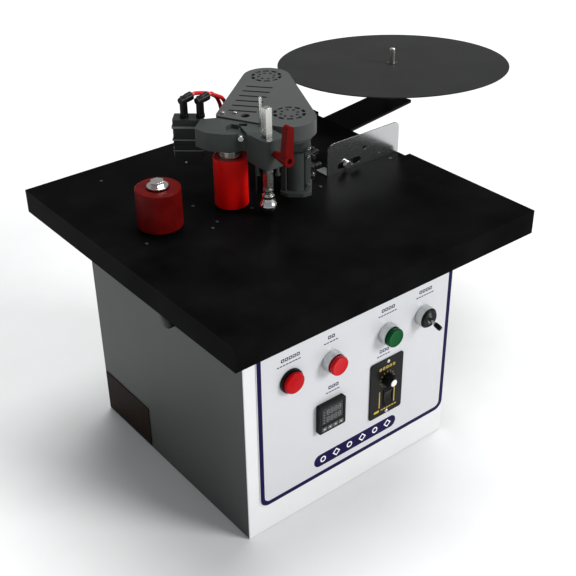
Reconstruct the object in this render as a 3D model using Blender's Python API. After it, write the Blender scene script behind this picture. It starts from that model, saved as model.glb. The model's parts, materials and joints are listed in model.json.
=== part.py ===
"""Edge banding machine: a white sheet-metal cabinet with its controls, a black folded table, and on it the
gluing head, the two red rollers, the tape guide and the tape reel.

Lengths are in millimetres and become metres in solid(). +X is right, +Y is back, +Z is up, and the origin is
the middle of the cabinet's underside.
"""

import math

import bmesh
import bpy
from mathutils import Matrix, Vector

MM = 0.001
GAP = 0.3

# Cabinet
HALF_WIDTH = 193.0
HALF_DEPTH = 195.0
CABINET_TOP = 374.0
SHEET = 2.0
PANEL_FRONT = -195.0
LABEL_FRONT = -195.9

# Table
TABLE_TOP = 410.0
TABLE_X = (-260.0, 260.0)
TABLE_Y = (-276.0, 244.0)
TABLE_SHEET = 3.0
SKIRT_BOTTOM = 374.0
TAPE_NOTCH_X = 250.0
TAPE_NOTCH_Y = (-28.0, 192.0)
ON_TABLE = TABLE_TOP + GAP

# Shaft centres, seen from above
GLUE_SHAFT = (39.0, -5.2)
MOTOR_SHAFT = (103.5, 130.8)
FEED_SHAFT = (-53.0, 12.0)
PRESS_SHAFT = (-167.0, 21.3)
POST = (-32.5, -47.0)
POT = (45.6, -10.9)

# Heights on the head
PLATE_BOTTOM = 501.0
PLATE_TOP = 505.0
HEAD_TOP = 527.5
NOSE_BOTTOM = 486.0
COVER_BOTTOM = 507.0
COVER_TOP = 529.0
CHAIN_Z = (509.0, 514.0)

# The pot and the cutter stand square to the line that their faces look along
FACE_TURN = math.radians(-40.8)
COVER_TURN = math.radians(25.3)

# Reel
REEL_CENTRE = (404.0, 166.0)
REEL_HEIGHT = 470.0
REEL_RADIUS = 198.5
REEL_LEAN = (math.radians(2.36), math.radians(3.85))
ARM_TURN = math.radians(9.5)

# Controls
BUTTON_Z = 248.0
LAMP_X, STOP_X, START_X, SELECTOR_X = -115.5, -44.0, 61.0, 133.5
BUTTON_HOLE = 14.4
CONTROLLER = (-71.0, -22.0, 132.5, 181.0)
SPEED_PLATE = (31.0, 96.0, 100.5, 202.0)
SPEED_HOLE = (40.0, 90.0, 107.0, 192.0)
SELECTOR_TILT = math.radians(-14)
KEY_Z = (136.0, 142.5)
KNOB = (64.5, 165.0)
ROCKER = (58.8, 76.8, 116.0, 146.5)

# Sprockets, chain and cover
FEED_SPROCKET, GLUE_SPROCKET, MOTOR_SPROCKET = 12.0, 14.0, 12.0
CHAIN_GAP, CHAIN_THICK = 0.35, 3.0
CORNER_SHAFT = (-35.7, 52.8)
NEAR_CENTRE = (31.6, -14.9)

# Nose, cutter and air lines
PIN = (-16.5, -12.0)
LEVER_Z = 508.0
BLOCK = (-67.0, 62.0)
ROD_Z = 485.0
TUBE_HOLE_A = (8.0, 116.0)
TUBE_HOLE_B = (20.0, 126.0)
TUBE_RADIUS = 3.0
ELBOW_OFFSETS = (-23.0, 0.0)
VALVE_TOP = 360.0

# Tape guide
GUIDE_Y = (-9.6, -7.8)
GUIDE_SCREW = (143.5, 420.5)

LOOKS = {
    "cabinet_white": ((0.80, 0.81, 0.80), 0.35, 0.0),
    "cabinet_grey": ((0.34, 0.365, 0.355), 0.36, 0.0),
    "label_white": ((0.78, 0.79, 0.83), 0.30, 0.0),
    "dark_brown": ((0.055, 0.03, 0.022), 0.5, 0.0),
    "table_black": ((0.012, 0.012, 0.013), 0.38, 0.2),
    "frame_black": ((0.02, 0.02, 0.02), 0.5, 0.2),
    "plastic_black": ((0.02, 0.02, 0.022), 0.4, 0.0),
    "plastic_white": ((0.75, 0.75, 0.73), 0.4, 0.0),
    "head_grey": ((0.17, 0.18, 0.185), 0.45, 0.3),
    "cover_grey": ((0.22, 0.225, 0.23), 0.42, 0.3),
    "steel": ((0.55, 0.55, 0.54), 0.25, 1.0),
    "stainless": ((0.62, 0.63, 0.63), 0.28, 1.0),
    "dark_steel": ((0.12, 0.12, 0.12), 0.35, 0.9),
    "aluminium": ((0.50, 0.52, 0.53), 0.35, 1.0),
    "dark_red": ((0.22, 0.01, 0.008), 0.46, 0.0),
    "roller_red": ((0.62, 0.012, 0.010), 0.42, 0.0),
    "lever_red": ((0.50, 0.03, 0.015), 0.4, 0.0),
    "tube_red": ((0.55, 0.015, 0.015), 0.3, 0.0),
    "lens_red": ((0.60, 0.008, 0.015), 0.2, 0.0),
    "cap_green": ((0.0, 0.16, 0.06), 0.3, 0.0),
    "reel_grey": ((0.05, 0.05, 0.052), 0.45, 0.2),
    "brass": ((0.55, 0.40, 0.15), 0.3, 1.0),
}


# ---------------------------------------------------------------- making solids

def look(name):
    """The material of this name, made on first use."""
    found = bpy.data.materials.get(name)
    if found:
        return found
    colour, roughness, metallic = LOOKS[name]
    made = bpy.data.materials.new(name)
    made.use_nodes = True
    shader = made.node_tree.nodes["Principled BSDF"]
    shader.inputs["Base Color"].default_value = (*colour, 1.0)
    shader.inputs["Roughness"].default_value = roughness
    shader.inputs["Metallic"].default_value = metallic
    made.diffuse_color = (*colour, 1.0)
    return made


def solid(name, shape, material, origin=(0.0, 0.0, 0.0)):
    """An object from a bmesh in millimetres, with its own origin at the given place."""
    bmesh.ops.recalc_face_normals(shape, faces=shape.faces)
    shift = Matrix.Scale(MM, 4) @ Matrix.Translation(-Vector(origin))
    bmesh.ops.transform(shape, matrix=shift, verts=shape.verts)
    mesh = bpy.data.meshes.new(name)
    shape.to_mesh(mesh)
    shape.free()
    mesh.shade_smooth()
    mesh.set_sharp_from_angle(angle=math.radians(32))
    mesh.materials.append(look(material))
    made = bpy.data.objects.new(name, mesh)
    made.location = Vector(origin) * MM
    bpy.context.scene.collection.objects.link(made)
    return made


def boolean(target, shape, operation):
    """Adds a Boolean modifier whose other object is a hidden helper made from shape."""
    number = len(target.modifiers)
    helper = solid(f"{target.name}.helper{number}", shape, "steel")
    helper.hide_render = True
    helper.display_type = "WIRE"
    modifier = target.modifiers.new(f"{operation.lower()}{number}", "BOOLEAN")
    modifier.operation = operation
    modifier.solver = "EXACT"
    modifier.object = helper


def cut(target, *shapes):
    for shape in shapes:
        boolean(target, shape, "DIFFERENCE")


def join(target, *shapes):
    for shape in shapes:
        boolean(target, shape, "UNION")


# ---------------------------------------------------------------- outlines

def arc(centre, radius, start, end, steps):
    """Points on an arc, both ends included."""
    return [
        (
            centre[0] + radius * math.cos(start + (end - start) * step / steps),
            centre[1] + radius * math.sin(start + (end - start) * step / steps),
        )
        for step in range(steps + 1)
    ]


def loop_around(circles, facets=28):
    """The outline of a belt around circles (x, y, radius) that are listed anticlockwise."""
    count = len(circles)
    leave = []
    for index in range(count):
        x0, y0, r0 = circles[index]
        x1, y1, r1 = circles[(index + 1) % count]
        heading = math.atan2(y1 - y0, x1 - x0)
        leave.append(heading - math.acos((r0 - r1) / math.hypot(x1 - x0, y1 - y0)))
    outline = []
    for index, (x, y, radius) in enumerate(circles):
        start = leave[index - 1]
        turn = (leave[index] - start) % math.tau
        steps = max(1, math.ceil(turn / math.tau * facets - 1e-6))
        outline += arc((x, y), radius, start, start + turn, steps)
    return outline


def rounded(corners, steps=4):
    """An outline from corners (x, y, radius), each rounded by its own radius."""
    outline = []
    count = len(corners)
    for index, (x, y, radius) in enumerate(corners):
        if radius == 0:
            outline.append((x, y))
            continue
        here = Vector((x, y))
        before = (Vector(corners[index - 1][:2]) - here).normalized()
        after = (Vector(corners[(index + 1) % count][:2]) - here).normalized()
        half = before.angle(after) / 2
        start = here + before * (radius / math.tan(half))
        end = here + after * (radius / math.tan(half))
        centre = here + (before + after).normalized() * (radius / math.sin(half))
        first = math.atan2(start.y - centre.y, start.x - centre.x)
        last = math.atan2(end.y - centre.y, end.x - centre.x)
        turn = (last - first + math.pi) % math.tau - math.pi
        outline += arc(centre, radius, first, first + turn, steps)
    return outline


def rounded_rectangle(x0, x1, y0, y1, radius, steps=4):
    corners = [(x0, y0), (x1, y0), (x1, y1), (x0, y1)]
    return rounded([(x, y, radius) for x, y in corners], steps)


def hexagon(centre, across_flats):
    return arc(centre, across_flats / math.sqrt(3), 0, math.tau * 5 / 6, 5)


def circle(centre, radius, facets=24):
    return arc(centre, radius, 0, math.tau * (facets - 1) / facets, facets - 1)


# ---------------------------------------------------------------- shapes

def prism(outline, low, high):
    """The outline drawn upwards from one height to another."""
    shape = bmesh.new()
    bottom = [shape.verts.new((x, y, low)) for x, y in outline]
    top = [shape.verts.new((x, y, high)) for x, y in outline]
    shape.faces.new(bottom)
    shape.faces.new(top)
    for index in range(len(outline)):
        after = (index + 1) % len(outline)
        shape.faces.new((bottom[index], bottom[after], top[after], top[index]))
    return shape


def ring_prism(outer, inner, low, high):
    """The band between two outlines with as many points as each other."""
    shape = bmesh.new()
    loops = [
        [shape.verts.new((x, y, height)) for x, y in outline]
        for outline, height in ((outer, low), (outer, high), (inner, high), (inner, low))
    ]
    for this, following in zip(loops, loops[1:] + loops[:1]):
        for index in range(len(this)):
            after = (index + 1) % len(this)
            shape.faces.new((this[index], this[after], following[after], following[index]))
    return shape


def box(low, high):
    outline = [(low[0], low[1]), (high[0], low[1]), (high[0], high[1]), (low[0], high[1])]
    return prism(outline, low[2], high[2])


def turned(profile, facets=20, hollow=False):
    """A profile of (radius, height) turned round the Z axis. A hollow one joins its end to its start."""
    shape = bmesh.new()
    rings = []
    for radius, height in profile:
        count = facets if radius > 0 else 1
        rings.append([
            shape.verts.new((
                radius * math.cos(math.tau * step / facets),
                radius * math.sin(math.tau * step / facets),
                height,
            ))
            for step in range(count)
        ])
    followers = rings[1:] + rings[:1] if hollow else rings[1:]
    for low, high in zip(rings, followers):
        for step in range(facets):
            corners = (
                low[step % len(low)],
                low[(step + 1) % facets % len(low)],
                high[(step + 1) % facets % len(high)],
                high[step % len(high)],
            )
            corners = list(dict.fromkeys(corners))
            if len(corners) > 2:
                shape.faces.new(corners)
    if not hollow:
        for ring in (rings[0], rings[-1]):
            if len(ring) > 1:
                shape.faces.new(ring)
    return shape


def rod(radius, low, high, facets=20):
    return turned([(radius, low), (radius, high)], facets)


def moved(shape, place, turn=None):
    """The shape turned by a matrix and then moved to a place."""
    matrix = Matrix.Translation(Vector(place))
    if turn is not None:
        matrix = matrix @ turn
    bmesh.ops.transform(shape, matrix=matrix, verts=shape.verts)
    return shape


def upright(shape, centre):
    return moved(shape, (centre[0], centre[1], 0.0))


TO_FRONT = Matrix.Rotation(math.radians(90), 4, "X")
TO_BACK = Matrix.Rotation(math.radians(-90), 4, "X")
TO_LEFT = Matrix.Rotation(math.radians(-90), 4, "Y")
FACING = Matrix.Rotation(FACE_TURN, 4, "Z")


def forward(shape, x, z, y=PANEL_FRONT):
    """A shape built along +Z, turned to look out of the front panel at (x, z)."""
    return moved(shape, (x, y, z), TO_FRONT)


def front_prism(outline, front, back):
    """An outline in x and z, drawn through from y = front to y = back."""
    flipped = [(x, -z) for x, z in outline]
    return moved(prism(flipped, front, back), (0, 0, 0), TO_BACK)


def facing(shape, centre):
    """A shape in the head's turned frame, moved to its centre."""
    return moved(shape, (centre[0], centre[1], 0.0), FACING)


# ---------------------------------------------------------------- cabinet

def panel_holes(front, back):
    """Rounds and rectangles cut through a sheet that lies between y = front and y = back."""
    shapes = [
        moved(rod(BUTTON_HOLE + GAP, 0, back - front + 4), (x, front - 2, BUTTON_Z), TO_BACK)
        for x in (LAMP_X, STOP_X, START_X, SELECTOR_X)
    ]
    for x0, x1, z0, z1 in (
        (CONTROLLER[0] + 1.5, CONTROLLER[1] - 1.5, CONTROLLER[2] + 1.5, CONTROLLER[3] - 1.5),
        SPEED_HOLE,
    ):
        shapes.append(box((x0, front - 2, z0), (x1, back + 2, z1)))
    return shapes


def make_cabinet():
    back = HALF_DEPTH
    front = PANEL_FRONT + SHEET + GAP
    shell = solid(
        "cabinet_shell",
        box((-HALF_WIDTH, front, 0), (HALF_WIDTH, back, CABINET_TOP)),
        "cabinet_grey",
    )
    inner = HALF_WIDTH - SHEET
    cut(
        shell,
        box((-inner, front + SHEET, SHEET), (inner, back - SHEET, CABINET_TOP - SHEET)),
        box((-165, -167, CABINET_TOP - 9), (165, 167, CABINET_TOP + 9)),
        box((-176, front - 9, 16), (176, front + 9, CABINET_TOP - 16)),
        box((-168, back - 9, 78), (168, back + 9, CABINET_TOP - 34)),
        moved(rod(8.3, -9, 9), (-120, back, 40), TO_BACK),
        moved(rod(6.8, -9, 9), (120, back, 40), TO_BACK),
    )

    panel = solid(
        "front_panel",
        box((-HALF_WIDTH, PANEL_FRONT, 0), (HALF_WIDTH, PANEL_FRONT + SHEET, CABINET_TOP)),
        "cabinet_white",
    )
    cut(panel, *panel_holes(PANEL_FRONT, PANEL_FRONT + SHEET))

    label = solid(
        "control_panel_label",
        front_prism(rounded_rectangle(-173, 192, 46, 372, 15), LABEL_FRONT, PANEL_FRONT - GAP),
        "label_white",
    )
    cut(label, *panel_holes(LABEL_FRONT, PANEL_FRONT))

    rear = solid(
        "rear_cover",
        box((-176, back + GAP, 68), (176, back + GAP + 1.6, CABINET_TOP - 24)),
        "cabinet_grey",
    )
    for row in range(6):
        height = 150 + 24 * row
        slot = loop_around([(-60, height, 3), (60, height, 3)], 12)
        cut(rear, front_prism(slot, back - 4, back + 6))

    solid(
        "side_access_plate",
        box((-HALF_WIDTH - 1.3, 63, 5), (-HALF_WIDTH - GAP, 192, 78)),
        "dark_brown",
    )
    gland = solid(
        "cable_gland",
        moved(
            turned([(8, -6), (8, 0.3), (12, 0.3), (12, 5), (9.5, 9), (9.5, 14), (7, 17)]),
            (-120, back, 40),
            TO_BACK,
        ),
        "plastic_black",
    )
    cut(gland, moved(rod(4, 4, 20, 16), (-120, back, 40), TO_BACK))
    solid(
        "air_inlet",
        moved(
            turned([(6.5, -12), (6.5, 0.3), (9, 0.3), (9, 6), (5, 6), (5, 12), (6.5, 14), (5, 20)], 18),
            (120, back, 40),
            TO_BACK,
        ),
        "brass",
    )


def make_table():
    frame = solid("table_frame", box((-192, -194, CABINET_TOP + GAP), (192, 194, 406.7)), "frame_black")
    cut(frame, box((-178.5, -180, 360), (178.5, 180, 420)), box((150, 80, 399.5), (205, 200, 410)))

    (x0, x1), (y0, y1) = TABLE_X, TABLE_Y
    top = solid("table_top", box((x0, y0, SKIRT_BOTTOM), (x1, y1, TABLE_TOP)), "table_black")
    wall = TABLE_SHEET
    cut(
        top,
        box((x0 + wall, y0 + wall, SKIRT_BOTTOM - 9), (x1 - wall, y1 - wall, TABLE_TOP - wall)),
        box((TAPE_NOTCH_X, TAPE_NOTCH_Y[0], TABLE_TOP - 14), (x1 + 9, TAPE_NOTCH_Y[1], TABLE_TOP + 9)),
        upright(rod(9, 380, 420), MOTOR_SHAFT),
        upright(rod(6.3, 380, 420), PRESS_SHAFT),
        upright(rod(8.3, 380, 420), FEED_SHAFT),
        upright(rod(3.6, 380, 420, 12), TUBE_HOLE_A),
        upright(rod(3.6, 380, 420, 12), TUBE_HOLE_B),
    )

    knob = solid(
        "table_clamp_knob",
        moved(
            turned([(4, 0.3), (4, 9), (8, 9), (15, 11), (15, 22), (12, 24.5), (0, 25)], 20),
            (-HALF_WIDTH, -49, 314),
            TO_LEFT,
        ),
        "plastic_black",
        (-HALF_WIDTH, -49, 314),
    )
    for index in range(10):
        angle = math.tau * index / 10
        notch = moved(
            rod(2.2, 8, 30, 8),
            (-HALF_WIDTH, -49 + 16 * math.cos(angle), 314 + 16 * math.sin(angle)),
            TO_LEFT,
        )
        cut(knob, notch)


# ---------------------------------------------------------------- controls

def make_lamp():
    bezel = solid(
        "lamp_bezel",
        forward(
            turned([(14.4, -30), (14.4, 1.2), (18.8, 1.2), (18.8, 4.5), (18, 6)], 24),
            LAMP_X,
            BUTTON_Z,
        ),
        "plastic_black",
    )
    cut(bezel, forward(rod(16.9, 4, 10, 24), LAMP_X, BUTTON_Z))
    solid(
        "lamp_lens",
        forward(turned([(16.6, 4.3), (16.6, 10), (15.6, 12.2), (12, 13.4), (0, 14)], 24), LAMP_X, BUTTON_Z),
        "lens_red",
    )


def make_button(name, x, cap_look):
    collar = solid(
        f"{name}_collar",
        forward(turned([(14.4, -34), (14.4, 1.2), (16.8, 1.2), (16.8, 5), (16.4, 13.6)], 24), x, BUTTON_Z),
        "aluminium",
    )
    cut(collar, forward(rod(15.3, 4.5, 20, 24), x, BUTTON_Z))
    solid(
        f"{name}_cap",
        forward(turned([(14.9, 9.4), (14.9, 19), (13.8, 20.6), (0, 21.2)], 24), x, BUTTON_Z),
        cap_look,
        (x, PANEL_FRONT, BUTTON_Z),
    )


SELECTOR_PIVOT = (SELECTOR_X, PANEL_FRONT - 12.0, BUTTON_Z)


def make_selector():
    collar = solid(
        "selector_collar",
        forward(
            turned([(14.4, -34), (14.4, 1.2), (16.4, 1.2), (16.4, 5), (15.8, 13), (13, 15.5)], 24),
            SELECTOR_X,
            BUTTON_Z,
        ),
        "aluminium",
    )
    mouth = loop_around([(SELECTOR_X, BUTTON_Z - 6, 5.5), (SELECTOR_X, BUTTON_Z + 6, 5.5)], 16)
    cut(collar, front_prism(mouth, PANEL_FRONT - 30, PANEL_FRONT - 5))
    lean = Matrix.Rotation(-SELECTOR_TILT, 4, "X") @ TO_FRONT
    solid(
        "selector_lever",
        moved(turned([(2.6, -4), (2.6, 3), (2.2, 6), (3.2, 23), (2.6, 26)], 14), SELECTOR_PIVOT, lean),
        "steel",
        SELECTOR_PIVOT,
    )


def make_temperature_controller():
    x0, x1, z0, z1 = CONTROLLER
    face = PANEL_FRONT - 9.0
    body = solid(
        "temperature_controller",
        front_prism(rounded_rectangle(x0, x1, z0, z1, 2.5, 2), face, LABEL_FRONT - GAP),
        "plastic_black",
    )
    join(body, box((x0 + 2, LABEL_FRONT - 2, z0 + 2), (x1 - 2, PANEL_FRONT + 62, z1 - 2)))
    cut(body, box((x0 + 4, face - 2, z0 + 13.5), (x1 - 4, face + 0.8, z1 - 4)))
    width = 8.6
    for index in range(4):
        left = x0 + 5.2 + index * 10.2
        right = left + width
        pocket = box((left - GAP, face - 2, KEY_Z[0] - GAP), (right + GAP, face + 2.5, KEY_Z[1] + GAP))
        cut(body, pocket)
        middle = (left + right) / 2
        solid(
            f"temperature_key_{index + 1}",
            box((left, face - 0.5, KEY_Z[0]), (right, face + 1.5, KEY_Z[1])),
            "plastic_white",
            (middle, face, sum(KEY_Z) / 2),
        )


def make_speed_controller():
    x0, x1, z0, z1 = SPEED_PLATE
    face = LABEL_FRONT - GAP - 2.0
    plate = solid(
        "speed_controller",
        front_prism(rounded_rectangle(x0, x1, z0, z1, 4, 3), face, LABEL_FRONT - GAP),
        "plastic_black",
    )
    a0, a1, b0, b1 = SPEED_HOLE
    join(plate, box((a0 + 1, face + 1, b0 + 1), (a1 - 1, PANEL_FRONT + 70, b1 - 1)))
    r0, r1, s0, s1 = ROCKER
    cut(
        plate,
        forward(rod(3.6, -6, 12, 16), *KNOB),
        box((r0 + 1.2, face - 2, s0 + 1.2), (r1 - 1.2, PANEL_FRONT + 12, s1 - 1.2)),
    )
    out = PANEL_FRONT - face
    solid(
        "speed_knob",
        forward(
            turned(
                [
                    (3.2, -5),
                    (3.2, out + 0.6),
                    (10, out + 0.6),
                    (9.6, out + 5),
                    (7.6, out + 13),
                    (6.8, out + 14),
                    (0, out + 14),
                ],
                24,
            ),
            *KNOB,
        ),
        "plastic_black",
        (KNOB[0], PANEL_FRONT, KNOB[1]),
    )
    middle_x, middle_z = (r0 + r1) / 2, (s0 + s1) / 2
    rocker = solid(
        "run_rocker",
        box((r0 + 2, face - 1.5, s0 + 3), (r1 - 2, face + 5, s1 - 3)),
        "plastic_black",
        (middle_x, face + 4, middle_z),
    )
    dish = moved(
        rod(30, -20, 20, 64),
        (middle_x, face - 29.5, middle_z),
        Matrix.Rotation(math.radians(90), 4, "Y"),
    )
    cut(rocker, dish)


# ---------------------------------------------------------------- rollers

def make_press_roller():
    at = PRESS_SHAFT
    solid(
        "press_roller_tyre",
        upright(
            turned(
                [(12.3, 412.5), (30.5, 412.5), (31.5, 414), (31.5, 468.5), (30.5, 470), (12.3, 470)],
                36,
                hollow=True,
            ),
            at,
        ),
        "dark_red",
        (*at, 412.5),
    )
    solid(
        "press_roller_core",
        upright(turned([(6.6, 412), (12, 412), (12, 469.6), (6.6, 469.6)], 20, hollow=True), at),
        "dark_steel",
        (*at, 412),
    )
    axle = solid(
        "press_roller_axle",
        upright(
            turned(
                [(9, 384), (9, 394), (6, 394), (6, 470.4), (15, 470.4), (15, 472.9), (6, 472.9), (6, 474)],
                20,
            ),
            at,
        ),
        "steel",
        (*at, 412),
    )
    join(axle, prism(hexagon(at, 17), 472.4, 479.5))


def make_feed_roller():
    at = FEED_SHAFT
    solid(
        "feed_roller_tyre",
        upright(
            turned(
                [(16.3, 412), (23.4, 412), (24.2, 413), (24.2, 485.2), (23.4, 486), (16.3, 486)],
                36,
                hollow=True,
            ),
            at,
        ),
        "roller_red",
        (*at, 412),
    )
    core = solid(
        "feed_roller_core",
        upright(
            turned([(8, 396), (8, 411.6), (16, 411.6), (16, 496), (13, 498.5), (6, 498.5), (6, 519)], 20),
            at,
        ),
        "steel",
        (*at, 412),
    )
    join(core, upright(rod(FEED_SPROCKET, *CHAIN_Z, 20), at))


# ---------------------------------------------------------------- drive

def cover_outline(inset, facets=36):
    """The cover seen from above: a band round its near end, far end and left corner, drawn in by inset."""
    return loop_around(
        [
            (*NEAR_CENTRE, 38 - inset),
            (*MOTOR_SHAFT, 36 - inset),
            (*CORNER_SHAFT, 8 - inset),
        ],
        facets,
    )


def along_cover(along, across):
    """A place on the cover, from the near vent: along its long side, and across to the right."""
    sine, cosine = math.sin(COVER_TURN), math.cos(COVER_TURN)
    return (
        GLUE_SHAFT[0] + along * sine + across * cosine,
        GLUE_SHAFT[1] + along * cosine - across * sine,
    )


def arc_slot(centre, radius, width, start, turn, steps=3):
    """The outline of a curved slot."""
    inner, outer = radius - width / 2, radius + width / 2
    return arc(centre, outer, start, start + turn, steps) + arc(centre, inner, start + turn, start, steps)


def vent_outlines(centre):
    """Two rings of curved slots round a centre."""
    slots = []
    for index in range(10):
        slots.append(arc_slot(centre, 21.2, 5.0, math.tau * index / 10 + 0.1, math.radians(25), 2))
    for index in range(8):
        slots.append(arc_slot(centre, 12.2, 4.3, math.tau * index / 8 + 0.2, math.radians(20), 1))
    return slots


def make_drive():
    solid(
        "gear_motor",
        motor_shape(),
        "dark_steel",
    )
    motor = bpy.data.objects["gear_motor"]
    join(
        motor,
        upright(turned([(31, 250), (33, 253), (33, 345)], 28), MOTOR_SHAFT),
        upright(turned([(20, 236), (22, 240), (22, 252)], 20), MOTOR_SHAFT),
    )
    cut(motor, upright(rod(8.3, 397, 420), MOTOR_SHAFT))
    shaft = solid(
        "drive_shaft",
        upright(turned([(8, 397.5), (8, 506), (6, 506), (6, 519)], 24), MOTOR_SHAFT),
        "steel",
        (*MOTOR_SHAFT, 412),
    )
    join(shaft, upright(rod(MOTOR_SPROCKET, *CHAIN_Z, 20), MOTOR_SHAFT))

    circles = [
        (*GLUE_SHAFT, GLUE_SPROCKET),
        (*MOTOR_SHAFT, MOTOR_SPROCKET),
        (*FEED_SHAFT, FEED_SPROCKET),
    ]
    inner = loop_around([(x, y, r + CHAIN_GAP) for x, y, r in circles])
    outer = loop_around([(x, y, r + CHAIN_GAP + CHAIN_THICK) for x, y, r in circles])
    solid("drive_chain", ring_prism(outer, inner, *CHAIN_Z), "dark_steel")

    solid(
        "rear_column",
        upright(
            turned(
                [
                    (8.6, ON_TABLE),
                    (31, ON_TABLE),
                    (31, 415),
                    (20, 417),
                    (20, 490),
                    (26, 493),
                    (26, PLATE_BOTTOM - GAP),
                    (8.6, PLATE_BOTTOM - GAP),
                ],
                28,
                hollow=True,
            ),
            MOTOR_SHAFT,
        ),
        "head_grey",
    )


def motor_shape():
    x, y = MOTOR_SHAFT
    return box((x - 34, y - 34, 344), (x + 34, y + 34, TABLE_TOP - TABLE_SHEET - GAP))


def make_cover():
    cover = solid("drive_cover", prism(cover_outline(0), COVER_BOTTOM, COVER_TOP), "cover_grey")
    cut(
        cover,
        prism(cover_outline(2.5), COVER_BOTTOM - 5, COVER_TOP - 2.5),
        chain_pocket(COVER_BOTTOM - 5, 519),
    )
    cut(cover, moved(rod(6.6, COVER_BOTTOM - 5, 540, 20), (-14, 27, 0)))
    slots = bmesh.new()
    outlines = vent_outlines(GLUE_SHAFT) + vent_outlines(MOTOR_SHAFT)
    for index in range(6):
        along, across = 116.5 - 16.9 * index, -37.1 - 8.46 * index
        ends = [along_cover(along, across), along_cover(along - 16.4, across + 34.5)]
        outlines.append(loop_around([(*end, 2.2) for end in ends], 8))
    for outline in outlines:
        part = prism(outline, COVER_TOP - 6, COVER_TOP + 6)
        mesh = bpy.data.meshes.new("slot")
        part.to_mesh(mesh)
        part.free()
        slots.from_mesh(mesh)
        bpy.data.meshes.remove(mesh)
    cut(cover, slots)


def chain_pocket(low, high):
    """The channel that the chain runs through to the feed roller."""
    return prism(loop_around([(*FEED_SHAFT, 17), (20, 4, 24), (60, 75, 15), (20, 75, 15)]), low, high)


# ---------------------------------------------------------------- head

def make_head():
    head = solid("head_casting", prism(head_outline(), PLATE_BOTTOM, HEAD_TOP), "head_grey")
    nose = [(-47, -63, 7), (-13, -63, 9), (-12, -33, 4), (-22, -16, 3), (-46, -16, 3)]
    join(
        head,
        prism(rounded(nose), NOSE_BOTTOM, HEAD_TOP - 6),
        *[
            facing(moved(turned([(3.4, 471), (3.4, 474), (2, 474), (2, 490)], 10), (side, 0, 0)), POST)
            for side in (-13.5, 13.5)
        ],
        prism(
            loop_around([(*NEAR_CENTRE, 33), (*MOTOR_SHAFT, 30), (-38, 40, 12)]),
            PLATE_BOTTOM,
            PLATE_TOP,
        ),
    )
    cut(
        head,
        chain_pocket(PLATE_TOP, HEAD_TOP - 8),
        box((POST[0] - 5.3, POST[1] - 5.3, 400), (POST[0] + 5.3, POST[1] + 5.3, 600)),
        prism(
            rounded([(-63, 4, 3), (-53, -20, 0), (-47, -22, 0), (-38, 8, 2), (-44, 19, 3), (-55, 17, 3)]),
            HEAD_TOP - 6,
            540,
        ),
        moved(prism(rounded_rectangle(-6, 6, -4.5, 4.5, 1, 1), 521.5, 540), (-33.5, 6, 0), FACING),
        upright(rod(6.4, 480, 519.3), FEED_SHAFT),
        upright(rod(6.4, 480, 540), GLUE_SHAFT),
        upright(rod(8.4, 480, 540), MOTOR_SHAFT),
        moved(rod(2.3, 519, 540, 12), (*PIN, 0)),
        moved(rod(4.3, -12, 12, 16), (POST[0], -57, LEVER_Z), TO_FRONT),
    )


def head_outline():
    """The raised part of the casting: the arm over the feed roller and the nose that holds the post."""
    return rounded(
        [
            (-91, 39, 3),
            (-88, 16, 12),
            (-72, -5, 20),
            (-62, -13, 4),
            (-48, -14, 5),
            (-46.5, -63, 7),
            (-13, -63, 9),
            (-12, -32, 6),
            (-8.5, -25, 0),
            (-46.5, 49.5, 0),
            (-66.5, 60.5, 2),
        ]
    )


def make_hold_down():
    x, y = POST
    post = solid(
        "hold_down_post",
        box((x - 5, y - 5, 452), (x + 5, y + 5, 569)),
        "steel",
        (x, y, 452),
    )
    join(
        post,
        upright(turned([(4, 446), (7.5, 447.5), (7.5, 450), (4.6, 451), (4.6, 453)], 20), POST),
    )
    holder = solid(
        "ball_holder",
        upright(
            turned([(11, 425.5), (11, 430), (8.5, 436), (8.8, 438), (8.8, 441), (6, 443), (6, 445.7)], 24),
            POST,
        ),
        "steel",
        (x, y, 424),
    )
    cut(holder, moved(turned(ball_profile(12.9), 24), (x, y, 423.8)))
    solid(
        "hold_down_ball",
        moved(turned(ball_profile(12.5), 24), (x, y, 423.8)),
        "steel",
        (x, y, 423.8),
    )

    lever = solid(
        "clamp_lever",
        moved(
            turned([(4, -10.8), (4, 3), (5, 3), (9, 30), (8.4, 31.5)], 24),
            (x, -63.3, LEVER_Z),
            TO_FRONT,
        ),
        "lever_red",
        (x, -63.3, LEVER_Z),
    )
    grip = loop_around([(x + 0.5, LEVER_Z, 7.2), (x + 4, LEVER_Z + 42, 5.4)], 16)
    join(lever, front_prism(grip, -93, -82))
    cut(lever, moved(rod(4.2, 27, 40, 6), (x, -63.3, LEVER_Z), TO_FRONT))

    solid(
        "thickness_pin",
        moved(rod(2.1, 520, 569, 12), (*PIN, 0)),
        "steel",
        (*PIN, 520),
    )


def ball_profile(radius, steps=10):
    """A half circle from the bottom pole to the top one."""
    angles = [math.pi * step / steps - math.pi / 2 for step in range(steps + 1)]
    points = [(radius * math.cos(angle), radius * math.sin(angle)) for angle in angles]
    return [(0.0, -radius)] + points[1:-1] + [(0.0, radius)]


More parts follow.
